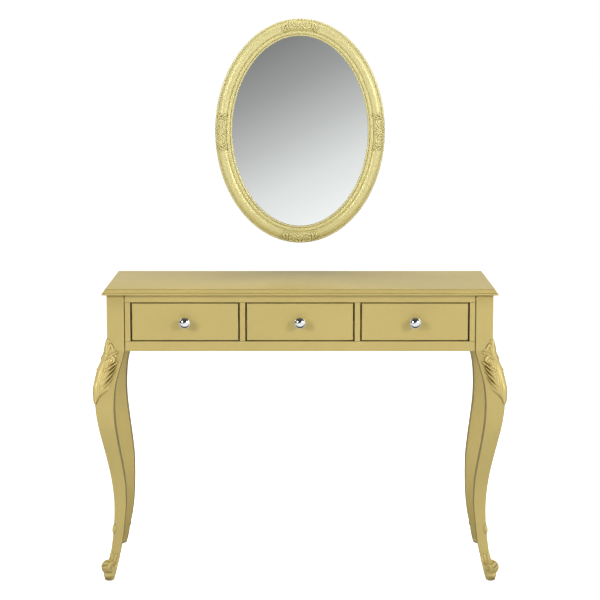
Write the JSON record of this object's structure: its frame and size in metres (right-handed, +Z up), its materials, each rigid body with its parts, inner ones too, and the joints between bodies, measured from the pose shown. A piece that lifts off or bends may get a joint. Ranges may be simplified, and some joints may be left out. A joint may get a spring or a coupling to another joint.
{
  "type": "vanity table with mirror",
  "caption": "Rectangular vanity table with a row of drawers on carved cabriole legs, and a separate oval wall mirror in a beaded, ornamented frame.",
  "frame": {"origin": "on the floor under the middle of the set, which is the middle of the table", "axes": "+Z up, +X to the user's right as they sit at the table, +Y to the wall behind it"},
  "size_m": [1.055, 0.447, 1.442],
  "materials": {
    "champagne_paint": "satin metallic champagne paint",
    "mirror_paint": "satin metallic champagne paint",
    "drawer_wood": "clear lacquer",
    "knob_chrome": "polished",
    "plated_steel": "zinc plated",
    "glide_nylon": "matt",
    "mirror_silver": "silvered glass",
    "backing_fibreboard": "bare hardboard"
  },
  "bodies": {
    "table": {"table_top": "champagne_paint", "leg_front_left": "champagne_paint", "leg_front_right": "champagne_paint", "leg_rear_left": "champagne_paint", "leg_rear_right": "champagne_paint", "top_rail": "champagne_paint", "bottom_rail": "champagne_paint", "stile_left": "champagne_paint", "stile_right": "champagne_paint", "mullion_left": "champagne_paint", "mullion_right": "champagne_paint", "side_apron_left": "champagne_paint", "side_apron_right": "champagne_paint", "back_apron": "champagne_paint", "runner_left_outer": "drawer_wood", "guide_left_outer": "drawer_wood", "runner_left_inner": "drawer_wood", "guide_left_inner": "drawer_wood", "runner_right_inner": "drawer_wood", "guide_right_inner": "drawer_wood", "runner_right_outer": "drawer_wood", "guide_right_outer": "drawer_wood", "drawer_kickers": "drawer_wood", "drawer_stops": "drawer_wood", "top_screws": "plated_steel", "frame_dowels": "drawer_wood", "foot_glides": "glide_nylon"},
    "drawer_left": {"drawer_left_front": "champagne_paint", "drawer_left_side_left": "drawer_wood", "drawer_left_side_right": "drawer_wood", "drawer_left_back": "drawer_wood", "drawer_left_bottom": "drawer_wood", "drawer_left_knob": "knob_chrome", "drawer_left_knob_screw": "plated_steel"},
    "drawer_middle": {"drawer_middle_front": "champagne_paint", "drawer_middle_side_left": "drawer_wood", "drawer_middle_side_right": "drawer_wood", "drawer_middle_back": "drawer_wood", "drawer_middle_bottom": "drawer_wood", "drawer_middle_knob": "knob_chrome", "drawer_middle_knob_screw": "plated_steel"},
    "drawer_right": {"drawer_right_front": "champagne_paint", "drawer_right_side_left": "drawer_wood", "drawer_right_side_right": "drawer_wood", "drawer_right_back": "drawer_wood", "drawer_right_bottom": "drawer_wood", "drawer_right_knob": "knob_chrome", "drawer_right_knob_screw": "plated_steel"},
    "mirror": {"mirror_frame": "mirror_paint", "bead_ring": "mirror_paint", "ornament_top": "mirror_paint", "ornament_bottom": "mirror_paint", "ornament_left": "mirror_paint", "ornament_right": "mirror_paint", "mirror_glass": "mirror_silver", "backing_board": "backing_fibreboard", "retaining_clips": "plated_steel", "clip_screws": "plated_steel", "hanger_plates": "plated_steel", "hanger_screws": "plated_steel"}
  },
  "joints": [
    {"name": "drawer_left_slide", "type": "slide", "parent": "table", "child": "drawer_left", "axis": [0, -1, 0], "range_m": [0, 0.25]},
    {"name": "drawer_middle_slide", "type": "slide", "parent": "table", "child": "drawer_middle", "axis": [0, -1, 0], "range_m": [0, 0.25]},
    {"name": "drawer_right_slide", "type": "slide", "parent": "table", "child": "drawer_right", "axis": [0, -1, 0], "range_m": [0, 0.25]},
    {"name": "mirror_lift", "type": "slide", "parent": "table", "child": "mirror", "axis": [0, 0, 1], "range_m": [0, 0.012]}
  ]
}
